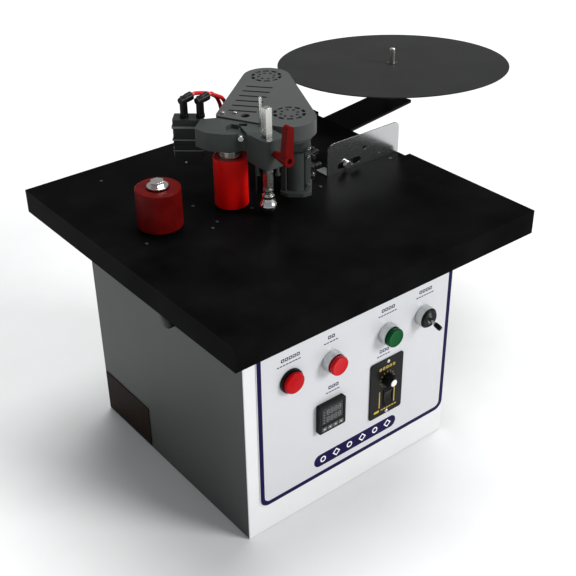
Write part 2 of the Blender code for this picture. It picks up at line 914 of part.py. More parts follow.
def make_glue_pot():
    pot = solid(
        "glue_pot",
        facing(
            prism(
                rounded(
                    [(-22, -19, 3), (-12, -26, 6), (12, -26, 6), (23, -19, 3), (23, 22, 4), (-22, 22, 4)],
                    3,
                ),
                ON_TABLE,
                416,
            ),
            POT,
        ),
        "head_grey",
        (*POT, ON_TABLE),
    )
    join(
        pot,
        upright(rod(18, 415, 478, 32), POT),
        facing(
            prism(rounded([(-21, -15, 1.5), (-13, -19, 1.5), (-13, 12, 0), (-21, 12, 1.5)], 2), 415, 479),
            POT,
        ),
        facing(
            prism(rounded([(13, -15, 1.5), (21, -10, 1.5), (21, 14, 1.5), (13, 14, 0)], 2), 415, 479),
            POT,
        ),
        facing(prism(rounded_rectangle(-21, 21, -20, 20, 12, 5), 477, PLATE_BOTTOM - GAP), POT),
    )
    cut(
        pot,
        upright(rod(12.4, 419, 475, 28), GLUE_SHAFT),
        upright(rod(5.4, 470, 510, 20), GLUE_SHAFT),
        facing(box((-19, 2, 424), (2, 40, 470)), POT),
        facing(moved(rod(5, 424, 510, 16), (11, 9, 0)), POT),
    )
    roller = solid(
        "glue_roller",
        upright(turned([(5, 419.5), (12, 419.5), (12, 474.5), (5, 474.5), (5, 519)], 28), GLUE_SHAFT),
        "steel",
        (*GLUE_SHAFT, 420),
    )
    join(roller, upright(rod(GLUE_SPROCKET, *CHAIN_Z, 20), GLUE_SHAFT))
    solid(
        "heater_cartridge",
        facing(moved(rod(4.7, 424.5, 499, 16), (11, 9, 0)), POT),
        "dark_steel",
    )


# ---------------------------------------------------------------- cutter and air

def make_cutter():
    block = solid(
        "cutter_cylinder",
        facing(prism(rounded_rectangle(-39, 3.5, 1.5, 27, 2, 2), 466, 524.5), BLOCK),
        "dark_steel",
    )
    join(
        block,
        facing(box((-36.5, 0.2, 456), (2.5, 24.5, 467.5)), BLOCK),
        facing(box((-40, 0.4, 512), (4.0, 28, 516)), BLOCK),
        facing(box((-40, 0.4, 494), (4.0, 28, 496.4)), BLOCK),
        facing(box((-40, 0.4, 486), (4.0, 28, 488.4)), BLOCK),
        facing(box((-40, 0.4, 478), (4.0, 28, 480)), BLOCK),
    )
    bore = moved(rod(5.4, -30, 12, 16), (0, 14, ROD_Z), Matrix.Rotation(math.radians(90), 4, "Y"))
    cut(block, facing(bore, BLOCK))
    solid(
        "cutter_rod",
        facing(
            moved(rod(5, -17, 72, 16), (0, 14, ROD_Z), Matrix.Rotation(math.radians(90), 4, "Y")),
            BLOCK,
        ),
        "steel",
    )
    blade = solid(
        "cutter_blade",
        facing(box((72.3, -2, 474), (78, 20, 495)), BLOCK),
        "dark_steel",
    )
    join(blade, facing(prism([(76.4, -16), (78, -15), (78, 2), (75, 2)], 420, 490), BLOCK))


def elbow(name, offset):
    """A push-in elbow: it stands on the block and turns a tube to the right."""
    made = solid(
        name,
        facing(
            moved(
                turned([(4, 0.3), (6.4, 0.3), (6.4, 4), (5.6, 5), (5.6, 24), (4.5, 30)], 18),
                (offset, 14, 524.5),
            ),
            BLOCK,
        ),
        "plastic_black",
    )
    out = moved(
        turned([(5.2, -6), (5.8, 3), (6.4, 9), (6.4, 15), (4.6, 16)], 18),
        (offset, 14, 524.5 + 25),
        ELBOW_OUT,
    )
    join(made, facing(out, BLOCK))
    bore = moved(rod(TUBE_RADIUS + GAP, 9, 22, 12), (offset, 14, 524.5 + 25), ELBOW_OUT)
    cut(made, facing(bore, BLOCK))


ELBOW_OUT = Matrix.Rotation(math.radians(50), 4, "Z") @ Matrix.Rotation(math.radians(82), 4, "Y")


def tube(name, points):
    """A bent tube through the points, as a curve with a round section."""
    curve = bpy.data.curves.new(name, "CURVE")
    curve.dimensions = "3D"
    curve.bevel_depth = TUBE_RADIUS * MM
    curve.bevel_resolution = 2
    curve.use_fill_caps = True
    smooth = smooth_route(points)
    line = curve.splines.new("POLY")
    line.points.add(len(smooth) - 1)
    for point, place in zip(line.points, smooth):
        point.co = (*(Vector(place) * MM), 1.0)
    curve.materials.append(look("tube_red"))
    made = bpy.data.objects.new(name, curve)
    bpy.context.scene.collection.objects.link(made)


def smooth_route(points, per_span=4):
    """Points on a Catmull-Rom curve through the route."""
    route = [Vector(point) for point in points]
    route = [2 * route[0] - route[1]] + route + [2 * route[-1] - route[-2]]
    smooth = []
    for index in range(1, len(route) - 2):
        p0, p1, p2, p3 = route[index - 1:index + 3]
        for step in range(per_span):
            t = step / per_span
            smooth.append(
                0.5 * (2 * p1 + (p2 - p0) * t + (2 * p0 - 5 * p1 + 4 * p2 - p3) * t * t
                       + (3 * p1 - p0 - 3 * p2 + p3) * t * t * t)
            )
    return smooth + [route[-2]]


def make_air():
    for name, offset in (("elbow_fitting_left", ELBOW_OFFSETS[0]), ("elbow_fitting_right", ELBOW_OFFSETS[1])):
        elbow(name, offset)
    for name, offset, hole, side in (
        ("air_tube_left", ELBOW_OFFSETS[0], TUBE_HOLE_A, 0),
        ("air_tube_right", ELBOW_OFFSETS[1], TUBE_HOLE_B, 1),
    ):
        foot = Matrix.Translation((offset, 14, 549.5))
        outlet = Matrix.Translation((*BLOCK, 0)) @ FACING @ foot @ ELBOW_OUT
        leaving = [outlet @ Vector((0, 0, distance)) for distance in (10.5, 16.5, 22.5)]
        if side:
            middle = [(-20, 90, 542), (-1, 101, 530), (13, 113, 514)]
        else:
            middle = [(-33, 98, 546), (-15, 106, 537), (-1, 112, 525)]
        tube(name, [*leaving, *middle, (*hole, 500), (*hole, 455), (*hole, 400), (*hole, VALVE_TOP + 0.6)])

    x, y = (TUBE_HOLE_A[0] + TUBE_HOLE_B[0]) / 2, (TUBE_HOLE_A[1] + TUBE_HOLE_B[1]) / 2
    valve = solid(
        "solenoid_valve",
        box((x - 32, y - 11, VALVE_TOP - 40), (x + 20, y + 11, VALVE_TOP - 8)),
        "aluminium",
    )
    join(valve, box((x - 60, y - 10, VALVE_TOP - 38), (x - 31, y + 10, VALVE_TOP - 10)))
    for hole in (TUBE_HOLE_A, TUBE_HOLE_B):
        join(valve, upright(rod(5, VALVE_TOP - 10, VALVE_TOP, 14), hole))


# ---------------------------------------------------------------- tape guide

def make_guide():
    outline = [(107, ON_TABLE, 0), (252, ON_TABLE, 0), (252, 460.5, 9), (107, 460.5, 12)]
    plate = solid(
        "tape_guide_plate",
        front_prism(rounded(outline, 3), *GUIDE_Y),
        "stainless",
        (107, -8, 412),
    )
    join(plate, box((107, -9, ON_TABLE), (124, 17, ON_TABLE + 1.8)))
    slot = loop_around([(132.5, 421, 5.2), (168, 421, 5.2)], 16)
    cut(
        plate,
        front_prism(slot, -15, -2),
        moved(rod(3.6, -8, 8, 16), (180.5, -8.7, 437), TO_FRONT),
    )
    x, z = GUIDE_SCREW
    solid(
        "guide_screw",
        moved(
            turned([(3.7, -12), (3.7, 0.6), (4.2, 2), (6.8, 2), (6.8, 6.2), (5.8, 7)], 18),
            (x, -8.1, z),
            TO_FRONT,
        ),
        "steel",
    )
    block = solid("guide_block", box((136, -7.4, ON_TABLE), (160, 10, 432)), "dark_steel")
    cut(block, moved(rod(4, -14, 4, 16), (x, -8.1, z), TO_FRONT))

    infeed = solid("tape_infeed_block", box((73, -4, ON_TABLE), (88, 18, 436)), "dark_steel")
    join(
        infeed,
        box((74.5, 2, 430), (86.5, 16, 462)),
        moved(rod(3.5, -6, 9, 12), (80.5, -2, 450), TO_FRONT),
    )
    cut(infeed, box((60, 6, 414), (95, 8, 456)))


# ---------------------------------------------------------------- reel

REEL_TILT = (
    Vector((math.tan(REEL_LEAN[0]), math.tan(REEL_LEAN[1]), 1)).to_track_quat("Z", "Y").to_matrix().to_4x4()
)
REEL_AT = (*REEL_CENTRE, REEL_HEIGHT)


def make_reel():
    pitch = math.tan(ARM_TURN)
    start_x, end_x, middle_x = 168.0, 421.0, REEL_CENTRE[0]
    middle_y = REEL_CENTRE[1]
    direction = Vector((math.cos(ARM_TURN), math.sin(ARM_TURN)))
    side = Vector((-direction.y, direction.x)) * 34
    near = Vector((start_x, middle_y + (start_x - middle_x) * pitch))
    far = Vector((end_x, middle_y + (end_x - middle_x) * pitch))
    corners = [near - side, far - side, far + side, near + side]
    solid(
        "reel_arm",
        prism(rounded([(corner.x, corner.y, 4) for corner in corners], 2), 401, 406),
        "frame_black",
    )
    spindle = solid(
        "reel_spindle",
        moved(
            turned([(14, -58), (14, -12), (20, -11.5), (20, -4.3), (5, -4.3), (5, 24), (4, 26)], 20),
            REEL_AT,
            REEL_TILT,
        ),
        "steel",
    )
    cut(spindle, box((380, 140, 380), (430, 190, 406 + GAP)))
    solid(
        "reel_disc",
        moved(
            turned(
                [(5.4, -4), (24, -4), (24, -2), (REEL_RADIUS, -2), (REEL_RADIUS, 0), (5.4, 0)],
                64,
                hollow=True,
            ),
            REEL_AT,
            REEL_TILT,
        ),
        "reel_grey",
        REEL_AT,
    )


# ---------------------------------------------------------------- all of it

def clear_scene():
    for old in list(bpy.data.objects):
        bpy.data.objects.remove(old, do_unlink=True)


def main():
    clear_scene()
    make_cabinet()
    make_table()
    make_lamp()
    make_button("stop_button", STOP_X, "lens_red")
    make_button("start_button", START_X, "cap_green")
    make_selector()
    make_temperature_controller()
    make_speed_controller()
    make_press_roller()
    make_feed_roller()
    make_drive()
    make_cover()
    make_head()
    make_hold_down()
    make_glue_pot()
    make_cutter()
    make_air()
    make_guide()
    make_reel()


main()
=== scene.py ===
"""The looks of the edge banding machine: materials, finer round pieces, printed marks, fasteners, light and
camera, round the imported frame. The pieces' sizes are in millimetres and become metres in piece(). The floor
and the camera are placed in metres.
"""

import json
import math

import bmesh
import bpy
from mathutils import Matrix, Vector


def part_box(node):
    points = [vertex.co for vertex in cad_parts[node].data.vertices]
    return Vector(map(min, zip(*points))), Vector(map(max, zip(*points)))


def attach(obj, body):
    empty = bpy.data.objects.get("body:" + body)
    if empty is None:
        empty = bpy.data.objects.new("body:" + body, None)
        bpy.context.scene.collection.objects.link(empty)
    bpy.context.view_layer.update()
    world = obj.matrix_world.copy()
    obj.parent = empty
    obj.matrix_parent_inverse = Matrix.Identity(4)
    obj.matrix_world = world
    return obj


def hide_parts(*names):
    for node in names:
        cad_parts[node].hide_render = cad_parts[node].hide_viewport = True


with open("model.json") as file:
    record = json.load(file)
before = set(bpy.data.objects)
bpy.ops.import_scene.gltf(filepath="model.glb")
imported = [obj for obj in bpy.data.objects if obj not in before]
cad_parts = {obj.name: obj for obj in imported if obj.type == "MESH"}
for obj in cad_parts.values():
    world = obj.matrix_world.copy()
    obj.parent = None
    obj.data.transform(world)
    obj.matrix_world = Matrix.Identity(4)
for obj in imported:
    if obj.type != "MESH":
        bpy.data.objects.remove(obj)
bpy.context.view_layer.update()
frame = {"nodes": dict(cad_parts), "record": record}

MM = 0.001


# ---------------------------------------------------------------- places

def middle(node):
    """The centre of a CAD node's box, in millimetres."""
    low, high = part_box(node)
    return (low + high) / 2 / MM


def low_of(node):
    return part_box(node)[0] / MM


def high_of(node):
    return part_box(node)[1] / MM


TABLE_TOP = high_of("table_top").z
PANEL_FACE = low_of("control_panel_label").y

# Places and angles of CAD pieces that their boxes don't give
FACE_TURN = math.radians(-40.8)  # from the cabinet's front to the pot's face and the cutter's
POT_PLACE = (45.6, -10.9, 0)
CUTTER_PLACE = (-67, 62, 0)
REEL_PLACE = (404, 166, 470)
REEL_LEAN = (math.radians(2.36), math.radians(3.85))  # the pin's lean, towards x and towards y
TOGGLE_PIVOT = (133.5, -207.0, 248.0)
TOGGLE_TILT = math.radians(14)
HUB_TOP = 498.1

# The rounding of an edge where no other width is given
SMALL_EDGE = 0.3


# ---------------------------------------------------------------- materials

def texture_nodes(tree, scale, detail=6.0, stretch=(1, 1, 1)):
    """A noise texture fixed to the object, with its scale in cycles per metre."""
    place = tree.nodes.new("ShaderNodeTexCoord")
    mapping = tree.nodes.new("ShaderNodeMapping")
    mapping.inputs["Scale"].default_value = stretch
    noise = tree.nodes.new("ShaderNodeTexNoise")
    noise.inputs["Scale"].default_value = scale
    noise.inputs["Detail"].default_value = detail
    tree.links.new(place.outputs["Object"], mapping.inputs["Vector"])
    tree.links.new(mapping.outputs["Vector"], noise.inputs["Vector"])
    return noise


def spread(tree, source, low, high):
    """source, mapped from its usual middle range to low ... high."""
    node = tree.nodes.new("ShaderNodeMapRange")
    node.inputs["From Min"].default_value = 0.3
    node.inputs["From Max"].default_value = 0.7
    node.inputs["To Min"].default_value = low
    node.inputs["To Max"].default_value = high
    tree.links.new(source, node.inputs["Value"])
    return node.outputs["Result"]


def material(name, colour, roughness, metallic=0.0, vary=0.12, grain=900.0, bump=0.05, stretch=(1, 1, 1),
             specular=0.5, patches=14.0):
    """A finish whose colour varies in patches, and whose gloss and relief vary in a finer grain."""
    made = bpy.data.materials.new(name)
    made.use_nodes = True
    tree = made.node_tree
    shader = tree.nodes["Principled BSDF"]
    shader.inputs["Metallic"].default_value = metallic
    shader.inputs["Specular IOR Level"].default_value = specular
    cloud = texture_nodes(tree, patches)
    fine = texture_nodes(tree, grain, 3.0, stretch)
    ramp = tree.nodes.new("ShaderNodeValToRGB")
    dark = [channel * (1 - vary) for channel in colour]
    light = [min(1.0, channel * (1 + vary) + 0.002) for channel in colour]
    ramp.color_ramp.elements[0].position = 0.3
    ramp.color_ramp.elements[1].position = 0.7
    ramp.color_ramp.elements[0].color = (*dark, 1)
    ramp.color_ramp.elements[1].color = (*light, 1)
    tree.links.new(cloud.outputs["Fac"], ramp.inputs["Fac"])
    tree.links.new(ramp.outputs["Color"], shader.inputs["Base Color"])
    gloss = spread(tree, fine.outputs["Fac"], roughness * 0.88, roughness * 1.12)
    tree.links.new(gloss, shader.inputs["Roughness"])
    relief = tree.nodes.new("ShaderNodeBump")
    relief.inputs["Strength"].default_value = bump
    relief.inputs["Distance"].default_value = 0.0004
    tree.links.new(fine.outputs["Fac"], relief.inputs["Height"])
    tree.links.new(relief.outputs["Normal"], shader.inputs["Normal"])
    return made


BRUSHED_X = (0.03, 1, 1)
BRUSHED_Z = (1, 1, 0.03)
FINISHES = {}


def add_finish(name, *settings, **more):
    """Makes a material and keeps it under its name."""
    FINISHES[name] = material(name, *settings, **more)


add_finish("cabinet_white", (0.70, 0.71, 0.71), 0.34, vary=0.012, grain=420, bump=0.03)
# The shell and rear cover: the cabinet's white paint darkened to a dark grey, a painted shade of the shaded
# left side
add_finish("cabinet_grey", (0.058, 0.063, 0.061), 0.36, vary=0.03, grain=420, bump=0.03, specular=0.2)
add_finish("panel_label", (0.57, 0.58, 0.60), 0.3, vary=0.015, grain=700, bump=0.02)
add_finish("access_plate", (0.014, 0.006, 0.003), 0.5, grain=600, bump=0.08, specular=0.05)
add_finish("table_black", (0.0024, 0.0024, 0.0025), 0.42, vary=0.3, grain=1300, bump=0.1, specular=0.008)
add_finish("frame_black", (0.004, 0.004, 0.004), 0.5, grain=900, bump=0.1, specular=0.05)
add_finish("black_plastic", (0.0035, 0.0035, 0.0036), 0.34, grain=1500, bump=0.06, specular=0.12)
add_finish("brass", (0.6, 0.42, 0.16), 0.28, 1.0, grain=700, stretch=BRUSHED_X)
add_finish("red_lens", (0.42, 0.001, 0.004), 0.2, vary=0.08, grain=500, bump=0.02, specular=0.07)
add_finish("red_cap", (0.5, 0.005, 0.010), 0.26, vary=0.05, grain=600, bump=0.02, specular=0.12)
add_finish("green_cap", (0.0, 0.070, 0.017), 0.26, vary=0.05, grain=600, bump=0.02, specular=0.06)
add_finish("collar_metal", (0.58, 0.60, 0.60), 0.3, 1.0, vary=0.06, grain=900, bump=0.03)
add_finish("steel", (0.60, 0.60, 0.57), 0.24, 1.0, vary=0.12, grain=1100, bump=0.04, stretch=BRUSHED_Z)
add_finish("grey_key", (0.12, 0.122, 0.126), 0.5, vary=0.05, grain=1400, bump=0.05, specular=0.2)
add_finish("red_roller", (0.66, 0.003, 0.0015), 0.4, vary=0.06, grain=1000, bump=0.06,
           stretch=(1, 1, 0.06), patches=40, specular=0.16)
add_finish("dark_red_roller", (0.098, 0.0012, 0.001), 0.46, vary=0.2, grain=1000, bump=0.1,
           stretch=(1, 1, 0.06), patches=40, specular=0.06)
add_finish("dark_steel", (0.05, 0.05, 0.05), 0.34, 0.9, grain=1000, bump=0.08)
add_finish("head_grey", (0.045, 0.0535, 0.050), 0.42, vary=0.14, grain=800, bump=0.14, specular=0.14)
add_finish("cover_grey", (0.071, 0.073, 0.073), 0.5, vary=0.06, grain=1200, bump=0.08, specular=0.15)
add_finish("polished_steel", (0.60, 0.62, 0.63), 0.14, 1.0, vary=0.06, grain=500, bump=0.01)
add_finish("red_lever", (0.12, 0.001, 0.0004), 0.4, vary=0.1, grain=1000, bump=0.06, specular=0.06)
add_finish("dark_aluminium", (0.020, 0.024, 0.023), 0.36, grain=900, bump=0.06, specular=0.2)
add_finish("red_tube", (0.60, 0.004, 0.006), 0.24, vary=0.06, grain=400, bump=0.02, specular=0.4)
add_finish("stainless", (0.47, 0.48, 0.48), 0.2, 1.0, vary=0.03, grain=900, bump=0.004, stretch=BRUSHED_X,
           patches=9)
add_finish("reel_grey", (0.024, 0.024, 0.024), 0.55, vary=0.07, grain=1300, bump=0.05, specular=0.06)
add_finish("navy_print", (0.0045, 0.002, 0.045), 0.4, vary=0.08, grain=900, bump=0.02, specular=0.06)
add_finish("white_print", (0.80, 0.80, 0.82), 0.4, vary=0.03, grain=900, bump=0.02)
add_finish("gold_print", (0.50, 0.36, 0.04), 0.4, vary=0.1, grain=900, bump=0.02, specular=0.2)
add_finish("display", (0.006, 0.0065, 0.007), 0.14, vary=0.05, grain=300, bump=0.005, specular=0.35)
add_finish("segment", (0.17, 0.175, 0.185), 0.4, vary=0.05, grain=900, bump=0.01, specular=0.2)
add_finish("trim_grey", (0.16, 0.175, 0.17), 0.4, vary=0.06, grain=900, bump=0.03, specular=0.3)


# ---------------------------------------------------------------- shapes

def soften(obj, width):
    """Rounds an object's edges, unless width is 0, and shades it by the size of its faces."""
    if width:
        bevel = obj.modifiers.new("edges", "BEVEL")
        bevel.width = width * MM
        bevel.segments = 2
        bevel.limit_method = "ANGLE"
        bevel.angle_limit = math.radians(38)
        bevel.harden_normals = False
    shading = obj.modifiers.new("shading", "WEIGHTED_NORMAL")
    shading.keep_sharp = True


def piece(name, shape, finish, body="machine", bevel=SMALL_EDGE, replaced=()):
    """A new piece from a bmesh in millimetres, riding on a body."""
    bmesh.ops.recalc_face_normals(shape, faces=shape.faces)
    bmesh.ops.transform(shape, matrix=Matrix.Scale(MM, 4), verts=shape.verts)
    for face in shape.faces:
        face.smooth = True
    mesh = bpy.data.meshes.new(name)
    shape.to_mesh(mesh)
    shape.free()
    made = bpy.data.objects.new(name, mesh)
    bpy.context.scene.collection.objects.link(made)
    mesh.materials.append(FINISHES[finish])
    soften(made, bevel)
    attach(made, body)
    if replaced:
        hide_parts(*replaced)


def moved(shape, *place):
    """The shape, moved by each matrix or offset in turn."""
    for step in place:
        matrix = step if isinstance(step, Matrix) else Matrix.Translation(step)
        bmesh.ops.transform(shape, matrix=matrix, verts=shape.verts)
    return shape


def together(*shapes):
    """Several separate shapes in one mesh."""
    whole = bmesh.new()
    for shape in shapes:
        mesh = bpy.data.meshes.new("part")
        shape.to_mesh(mesh)
        shape.free()
        whole.from_mesh(mesh)
        bpy.data.meshes.remove(mesh)
    return whole


def turned(profile, facets=64, closed=False):
    """A round shape about Z from (radius, height) points. A closed profile is a tube's section."""
    shape = bmesh.new()
    rings = []
    for radius, height in profile:
        if radius == 0:
            rings.append([shape.verts.new((0, 0, height))])
            continue
        ring = []
        for step in range(facets):
            angle = math.tau * step / facets
            ring.append(shape.verts.new((radius * math.cos(angle), radius * math.sin(angle), height)))
        rings.append(ring)
    pairs = list(zip(rings, rings[1:]))
    if closed:
        pairs.append((rings[-1], rings[0]))
    for first, second in pairs:
        for step in range(facets):
            after = (step + 1) % facets
            corners = [first[step % len(first)], first[after % len(first)]]
            corners += [second[after % len(second)], second[step % len(second)]]
            unique = list(dict.fromkeys(corners))
            if len(unique) > 2:
                shape.faces.new(unique)
    if not closed:
        for ring in (rings[0], rings[-1]):
            if len(ring) > 1:
                shape.faces.new(ring)
    return shape


def rounded_rectangle(left, right, low, high, radius, steps=8):
    corners = [(right - radius, high - radius), (left + radius, high - radius)]
    corners += [(left + radius, low + radius), (right - radius, low + radius)]
    points = []
    for index, (x, y) in enumerate(corners):
        for step in range(steps + 1):
            angle = math.radians(90 * index + 90 * step / steps)
            points.append((x + radius * math.cos(angle), y + radius * math.sin(angle)))
    return points


def slab(outline, low, high):
    """An outline in XY, filled from low to high in Z."""
    shape = bmesh.new()
    bottom = [shape.verts.new((x, y, low)) for x, y in outline]
    top = [shape.verts.new((x, y, high)) for x, y in outline]
    shape.faces.new(bottom)
    shape.faces.new(top)
    for index in range(len(outline)):
        after = (index + 1) % len(outline)
        shape.faces.new((bottom[index], bottom[after], top[after], top[index]))
    return shape


def frame_slab(outer, inner, low, high):
    """A closed band between two outlines with equally many points."""
    shape = bmesh.new()
    loops = []
    for outline, height in ((outer, low), (outer, high), (inner, high), (inner, low)):
        loops.append([shape.verts.new((x, y, height)) for x, y in outline])
    count = len(outer)
    for number, loop in enumerate(loops):
        other = loops[(number + 1) % 4]
        for index in range(count):
            after = (index + 1) % count
            shape.faces.new((loop[index], loop[after], other[after], other[index]))
    return shape


def ngon(sides, radius, turn=0.0):
    return [(radius * math.cos(turn + math.tau * i / sides), radius * math.sin(turn + math.tau * i / sides))
            for i in range(sides)]


def bar(x0, x1, y0, y1, low, high):
    return slab([(x1, y1), (x0, y1), (x0, y0), (x1, y0)], low, high)


def oval(across, up, count=48):
    angles = [math.tau * index / count for index in range(count)]
    return [(across * math.cos(angle), up * math.sin(angle)) for angle in angles]


TO_FRONT = Matrix.Rotation(math.radians(90), 4, "X")
TO_RIGHT = Matrix.Rotation(math.radians(90), 4, "Y")
TURNED = Matrix.Rotation(FACE_TURN, 4, "Z")


def on_front(shape, x=0.0, z=0.0, y=PANEL_FACE):
    """A shape drawn lying down, stood up to face the front: its X stays, its Y becomes height."""
    return moved(shape, TO_FRONT, (x, y, z))


def screw_head(radius, height):
    """A domed head with a dimple, its foot at zero."""
    profile = [(radius, 0), (radius, height * 0.35), (radius * 0.82, height * 0.8), (radius * 0.45, height)]
    profile += [(radius * 0.3, height), (radius * 0.26, height * 0.6), (0, height * 0.6)]
    return turned(profile, 24)


def socket_head(radius, height):
    """A straight head with a round socket, its foot at zero."""
    rim = radius * 0.5
    profile = [(radius, 0), (radius, height * 0.85), (radius * 0.9, height), (rim, height)]
    profile += [(rim, height * 0.45), (0, height * 0.45)]
    return turned(profile, 24)


def helix(radius, wire, pitch, turns, sides=8, steps=16):
    """A coil spring about Z, starting at zero."""
    shape = bmesh.new()
    rings = []
    total = int(turns * steps)
    for step in range(total + 1):
        angle = math.tau * step / steps
        centre = Vector((radius * math.cos(angle), radius * math.sin(angle), pitch * step / steps))
        outward = Vector((math.cos(angle), math.sin(angle), 0))
        ring = []
        for side in range(sides):
            around = math.tau * side / sides
            offset = wire * (math.cos(around) * outward + math.sin(around) * Vector((0, 0, 1)))
            ring.append(shape.verts.new(centre + offset))
        rings.append(ring)
    for first, second in zip(rings, rings[1:]):
        for side in range(sides):
            after = (side + 1) % sides
            shape.faces.new((first[side], first[after], second[after], second[side]))
    shape.faces.new(rings[0])
    shape.faces.new(rings[-1])
    return shape


# ---------------------------------------------------------------- the CAD pieces' finishes

SLOT_OF = {part["node"]: part["material_slot"] for part in frame["record"]["subparts"]}
# The width of the rounding on the CAD pieces that get more or less than SMALL_EDGE
EDGE_WIDTH = {
    "cabinet_shell": 1.0, "front_panel": 1.0, "rear_cover": 0.5, "table_top": 1.6, "table_frame": 0.8,
    "head_casting": 0.9, "drive_cover": 0.8, "glue_pot": 0.7, "cutter_cylinder": 0.5, "rear_column": 0.8,
    "reel_arm": 0.8, "speed_controller": 0.5, "temperature_controller": 0.5, "tape_guide_plate": 0.25,
    "control_panel_label": 0.1, "run_rocker": 0.4,
}


def smooth_group():
    """A modifier's nodes: drop the normals that came with the mesh, and shade every face smooth."""
    group = bpy.data.node_groups.new("smooth", "GeometryNodeTree")
    group.is_modifier = True
    for side in ("INPUT", "OUTPUT"):
        group.interface.new_socket("Geometry", in_out=side, socket_type="NodeSocketGeometry")
    source, target = group.nodes.new("NodeGroupInput"), group.nodes.new("NodeGroupOutput")
    drop = group.nodes.new("GeometryNodeRemoveAttribute")
    drop.inputs["Name"].default_value = "custom_normal"
    shade = group.nodes.new("GeometryNodeSetShadeSmooth")
    group.links.new(source.outputs[0], drop.inputs["Geometry"])
    group.links.new(drop.outputs["Geometry"], shade.inputs[0])
    group.links.new(shade.outputs[0], target.inputs[0])
    return group


SMOOTH = smooth_group()


def dress(name, node):
    """Gives a CAD piece its finish, and modifiers that round its edges and leave its own mesh as it is."""
    node.data.materials.clear()
    node.data.materials.append(FINISHES[SLOT_OF[name]])
    node.modifiers.new("smooth", "NODES").node_group = SMOOTH
    weld = node.modifiers.new("weld", "WELD")
    weld.merge_threshold = 1e-6
    merge = node.modifiers.new("flat", "DECIMATE")
    merge.decimate_type = "DISSOLVE"
    merge.angle_limit = math.radians(0.6)
    soften(node, EDGE_WIDTH.get(name, SMALL_EDGE))


for node_name, node_object in frame["nodes"].items():
    dress(node_name, node_object)


# ---------------------------------------------------------------- rollers and the hold-down

def make_rollers():
    x, y = middle("press_roller_tyre").xy
    low, high = low_of("press_roller_tyre").z, high_of("press_roller_tyre").z
    tyre = [(12.3, low), (29.5, low), (31.2, low + 1.2), (31.5, low + 2.4), (31.5, high - 2.4)]
    tyre += [(31.2, high - 1), (29.8, high), (18, high), (17.4, high - 0.8), (12.3, high - 0.8)]
    piece("press_tyre_fine", moved(turned(tyre, 96, True), (x, y, 0)), "dark_red_roller", "press_roller", 0,
          ["press_roller_tyre"])
    x, y = middle("feed_roller_tyre").xy
    low, high = low_of("feed_roller_tyre").z, high_of("feed_roller_tyre").z
    tyre = [(16.3, low), (23, low), (24.2, low + 1.4), (24.2, high - 1.6), (23.7, high - 0.5)]
    tyre += [(22.6, high), (16.3, high)]
    piece("feed_tyre_fine", moved(turned(tyre, 96, True), (x, y, 0)), "red_roller", "feed_spindle", 0,
          ["feed_roller_tyre"])
    count, circle, first_angle = 4, 9.7, 0.5
    bolts = []
    for step in range(count):
        angle = math.tau * step / count + first_angle
        place = (x + circle * math.cos(angle), y + circle * math.sin(angle), HUB_TOP)
        bolts.append(moved(socket_head(2.0, 1.6), place))
    piece("feed_hub_screws", together(*bolts), "steel", "feed_spindle", 0.1)


def make_hold_down():
    x, y, z = middle("hold_down_ball")
    radius, steps = 12.45, 24
    profile = []
    for step in range(steps + 1):
        angle = math.pi * step / steps - math.pi / 2
        profile.append((radius * math.cos(angle), radius * math.sin(angle)))
    profile[0], profile[-1] = (0, -radius), (0, radius)
    piece("ball_fine", moved(turned(profile, 48), (x, y, z)), "polished_steel", "ball", 0,
          ["hold_down_ball"])


# ---------------------------------------------------------------- panel print and controls

# How far the print stands out, on the panel and on the controllers
PRINT_OUT = 0.14
MARK_OUT = 0.1
# The middle, the height and the number of squares of the marks over each control
CONTROL_MARKS = ((-115.6, 283, 5), (-44, 285, 2), (62, 286, 4), (136, 287, 4), (-39, 199, 3), (58, 216, 3))


def print_on_panel(name, shapes, finish):
    piece(name, on_front(together(*shapes)), finish, bevel=0)


def hollow(outer, inner, radii, depth):
    """A printed outline between two rectangles (left, right, low, high) with rounded corners."""
    loops = [rounded_rectangle(*sides, radius, 2) for sides, radius in zip((outer, inner), radii)]
    return frame_slab(*loops, 0, depth)


def pill_marks():
    """Rings and diamonds by turns."""
    marks = []
    for index in range(6):
        x, z = -57 + 25.6 * index, 76
        sides, outer, inner = (4, 7.4, 4.6) if index % 2 else (24, 5.4, 3.2)
        loops = [[(x + a, z + b) for a, b in ngon(sides, radius)] for radius in (outer, inner)]
        marks.append(frame_slab(*loops, PRINT_OUT, PRINT_OUT + 0.06))
    return marks


def control_marks(x, z, count):
    """A row of hollow squares over a row of dashes."""
    marks = []
    for index in range(count):
        start = x + (index - count / 2) * 6.6
        outer = (start + 0.6, start + 6, z, z + 5.4)
        inner = (start + 1.9, start + 4.7, z + 1.4, z + 4.0)
        marks.append(hollow(outer, inner, (0.8, 0.4), PRINT_OUT))
    half = max(13, count * 4.6)
    for index in range(int(half / 2.6)):
        start = x - half + index * 5.2
        marks.append(bar(start, start + 3.9, z - 6.2, z - 4.6, 0, PRINT_OUT))
    return marks


def make_print():
    low, high = low_of("control_panel_label"), high_of("control_panel_label")
    margin, width = 1.2, 7.0
    left, right, bottom, top = low.x + margin, high.x - margin, low.z + margin, high.z - margin
    outer = rounded_rectangle(left, right, bottom, top, 15)
    inner = rounded_rectangle(left + width, right - width, bottom + width, top - width, 9.5)
    print_on_panel("label_border", [frame_slab(outer, inner, 0, PRINT_OUT)], "navy_print")
    pill = slab(rounded_rectangle(-74, 88, 65, 87, 10.9), 0, PRINT_OUT)
    print_on_panel("label_pill", [pill], "navy_print")
    print_on_panel("pill_marks", pill_marks(), "white_print")
    rows = [mark for place in CONTROL_MARKS for mark in control_marks(*place)]
    print_on_panel("label_marks", rows, "navy_print")


